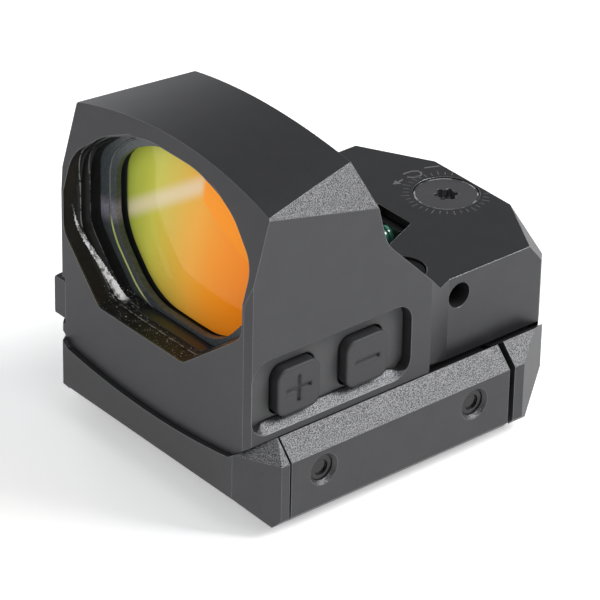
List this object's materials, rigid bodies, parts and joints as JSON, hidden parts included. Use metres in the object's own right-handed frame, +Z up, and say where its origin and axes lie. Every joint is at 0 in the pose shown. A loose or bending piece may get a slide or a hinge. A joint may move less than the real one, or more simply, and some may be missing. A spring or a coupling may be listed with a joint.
{
  "type": "reflex sight",
  "caption": "Open reflex sight in an angular dark grey housing with a coated window, side keypad, deck adjuster and a low rail clamp mount.",
  "frame": {"origin": "centre of the seat that rests on the rail's flat top", "axes": "+Z up, +Y along the rail from the window towards the rear deck, +X towards the keypad and the loose clamp bar"},
  "size_m": [0.038, 0.0475, 0.0413],
  "materials": {
    "anodised_housing": "matte dark grey anodised, fine grain",
    "anodised_mount": "matte dark grey anodised, fine grain",
    "coated_glass": "multicoated optical glass, yellow to orange reflection",
    "black_trim": "gloss black",
    "seal_rubber": "matte black seal",
    "keypad_rubber": "satin dark grey moulded rubber",
    "adjuster_steel": "blackened turned steel",
    "screw_steel": "black oxide steel",
    "spring_steel": "bright spring wire",
    "inner_alloy": "plain machined alloy",
    "emitter_polymer": "black moulded polymer",
    "diode_lens": "clear green-tinted lens",
    "circuit_laminate": "green solder mask laminate",
    "switch_polymer": "black switch body",
    "cell_steel": "polished cell can",
    "contact_brass": "plated contact",
    "tray_alloy": "matte dark grey anodised"
  },
  "bodies": {
    "housing": {"sight_body": "anodised_housing", "lens_bezel": "black_trim", "objective_lens": "coated_glass", "lens_seal": "seal_rubber", "windage_spring": "spring_steel", "lock_screw": "screw_steel", "keypad_frame": "keypad_rubber", "key_switches": "switch_polymer", "key_board": "circuit_laminate", "battery_contacts": "contact_brass", "main_board": "circuit_laminate", "bottom_cover": "inner_alloy", "rail_mount_base": "anodised_mount", "base_gasket": "seal_rubber", "recoil_key": "screw_steel", "housing_screws": "screw_steel", "locating_pins": "screw_steel"},
    "button_plus": {"button_plus": "keypad_rubber"},
    "button_minus": {"button_minus": "keypad_rubber"},
    "elevation_dial": {"elevation_adjuster": "adjuster_steel", "elevation_clip": "spring_steel"},
    "windage_dial": {"windage_adjuster": "adjuster_steel"},
    "windage_carriage": {"windage_slide": "inner_alloy", "elevation_spring": "spring_steel"},
    "emitter": {"emitter_carriage": "emitter_polymer", "emitter_diode": "diode_lens"},
    "battery_drawer": {"battery_tray": "tray_alloy", "coin_cell": "cell_steel", "tray_seal": "seal_rubber"},
    "clamp_jaw": {"clamp_bar": "anodised_mount"},
    "clamp_screw_front": {"clamp_screw_front": "screw_steel"},
    "clamp_screw_rear": {"clamp_screw_rear": "screw_steel"}
  },
  "joints": [
    {"name": "plus_press", "type": "slide", "parent": "housing", "child": "button_plus", "axis": [-1, 0, 0], "range_m": [0, 0.0004], "stiffness_N_per_m": 800},
    {"name": "minus_press", "type": "slide", "parent": "housing", "child": "button_minus", "axis": [-1, 0, 0], "range_m": [0, 0.0004], "stiffness_N_per_m": 800},
    {"name": "windage_shift", "type": "slide", "parent": "housing", "child": "windage_carriage", "axis": [-1, 0, 0], "range_m": [-0.0004, 0.0004]},
    {"name": "elevation_lift", "type": "slide", "parent": "windage_carriage", "child": "emitter", "axis": [0, 0, 1], "range_m": [-0.0004, 0.0004]},
    {"name": "elevation_turn", "type": "hinge", "parent": "housing", "child": "elevation_dial", "pos_m": [0, 0.0208, 0.0155], "axis": [0, 0, -1], "range_deg": [-290, 290]},
    {"name": "windage_turn", "type": "hinge", "parent": "housing", "child": "windage_dial", "pos_m": [-0.0145, 0.0155, 0.0103], "axis": [1, 0, 0], "range_deg": [-290, 290]},
    {"name": "tray_slide", "type": "slide", "parent": "housing", "child": "battery_drawer", "axis": [-1, 0, 0], "range_m": [0, 0.021]},
    {"name": "clamp_slide", "type": "slide", "parent": "housing", "child": "clamp_jaw", "axis": [1, 0, 0], "range_m": [0, 0.003]},
    {"name": "clamp_turn_front", "type": "hinge", "parent": "housing", "child": "clamp_screw_front", "pos_m": [-0.0175, -0.0129, 0.0019], "axis": [-1, 0, 0], "range_deg": [0, 2170]},
    {"name": "clamp_turn_rear", "type": "hinge", "parent": "housing", "child": "clamp_screw_rear", "pos_m": [-0.0175, 0.00897, 0.0019], "axis": [-1, 0, 0], "range_deg": [0, 2170]}
  ],
  "couplings": [
    {"joint": "windage_turn", "follows": "windage_shift", "rad_per_m": 12566},
    {"joint": "elevation_turn", "follows": "elevation_lift", "rad_per_m": 12566},
    {"joint": "clamp_turn_front", "follows": "clamp_slide", "rad_per_m": 12566},
    {"joint": "clamp_turn_rear", "follows": "clamp_slide", "rad_per_m": 12566}
  ]
}
